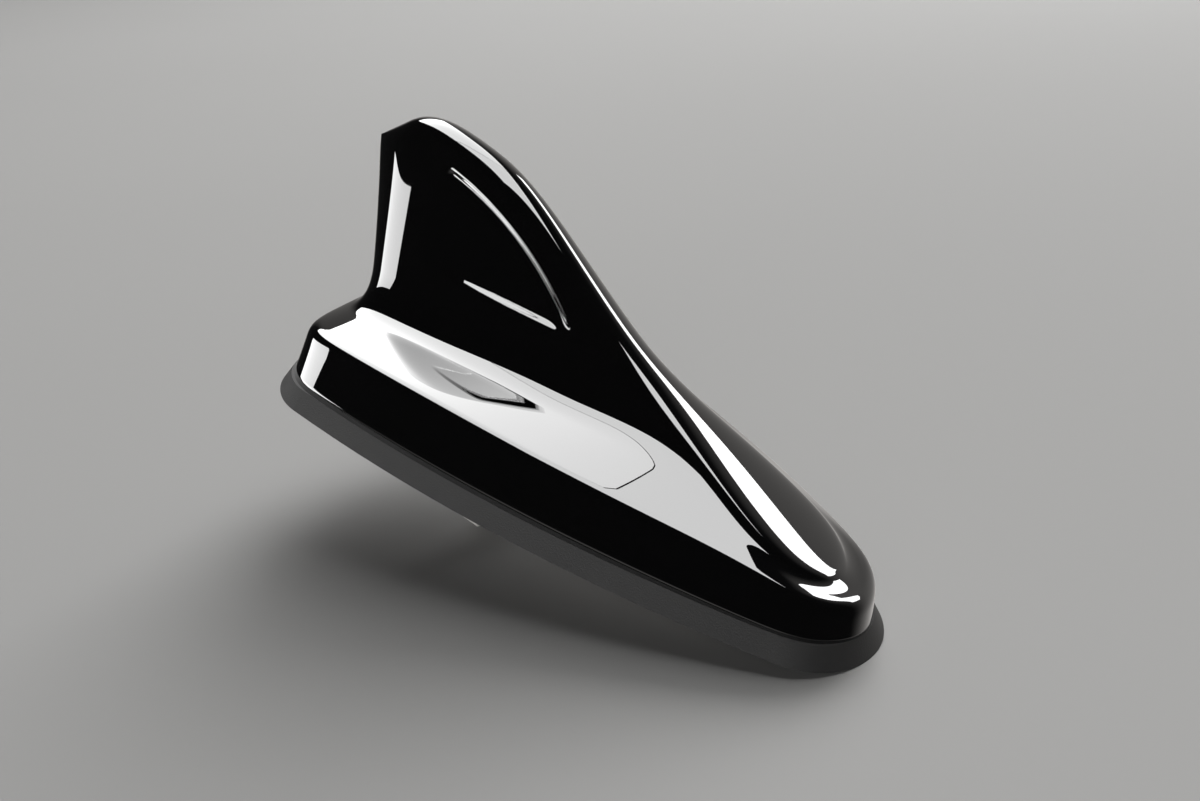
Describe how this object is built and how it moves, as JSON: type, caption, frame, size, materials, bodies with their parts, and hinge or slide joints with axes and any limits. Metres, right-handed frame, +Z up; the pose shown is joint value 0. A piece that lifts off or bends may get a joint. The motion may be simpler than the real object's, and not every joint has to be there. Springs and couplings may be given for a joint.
{
  "type": "shark fin antenna",
  "caption": "Fin-shaped car roof antenna: gloss black moulded cover on a flared rubber gasket, with a base plate, antenna boards inside and a bolt and claw below for the roof hole.",
  "frame": {"origin": "mounting bolt's axis in the roof plane, at the gasket's underside", "axes": "+X to the nose (front of the car), +Y to the left side, +Z up from the roof"},
  "size_m": [0.172, 0.0724, 0.0985],
  "materials": {
    "cover_gloss": "moulded gloss black, polished",
    "gasket_rubber": "matte dark grey rubber",
    "base_casting": "die-cast, dull grey",
    "seal_rubber": "matte black rubber",
    "clip_plastic": "natural acetal",
    "plated_steel": "zinc plated",
    "spring_steel": "bright spring steel",
    "board_laminate": "green solder mask",
    "contact_brass": "gold plated",
    "holder_plastic": "black moulded",
    "tinned_sheet": "tinned sheet",
    "ceramic": "fired ceramic",
    "pad_foam": "adhesive foam"
  },
  "bodies": {
    "root": {"fin_cover": "cover_gloss", "roof_gasket": "gasket_rubber", "base_plate": "base_casting", "cover_seal": "seal_rubber", "hole_seal": "seal_rubber", "retainer_clip": "clip_plastic", "mounting_bolt": "plated_steel", "bolt_washer": "plated_steel", "claw_bracket": "spring_steel", "cable_gland": "seal_rubber", "cover_screws": "plated_steel", "board_screws": "plated_steel", "main_board": "board_laminate", "board_connectors": "contact_brass", "fin_board": "board_laminate", "fin_board_holder": "holder_plastic", "top_load_plate": "tinned_sheet", "contact_spring": "contact_brass", "patch_antenna": "ceramic", "patch_electrode": "tinned_sheet", "patch_pin": "contact_brass", "patch_pad": "pad_foam", "shield_can": "tinned_sheet", "phone_blade_front": "tinned_sheet", "phone_blade_rear": "tinned_sheet"}
  },
  "joints": []
}
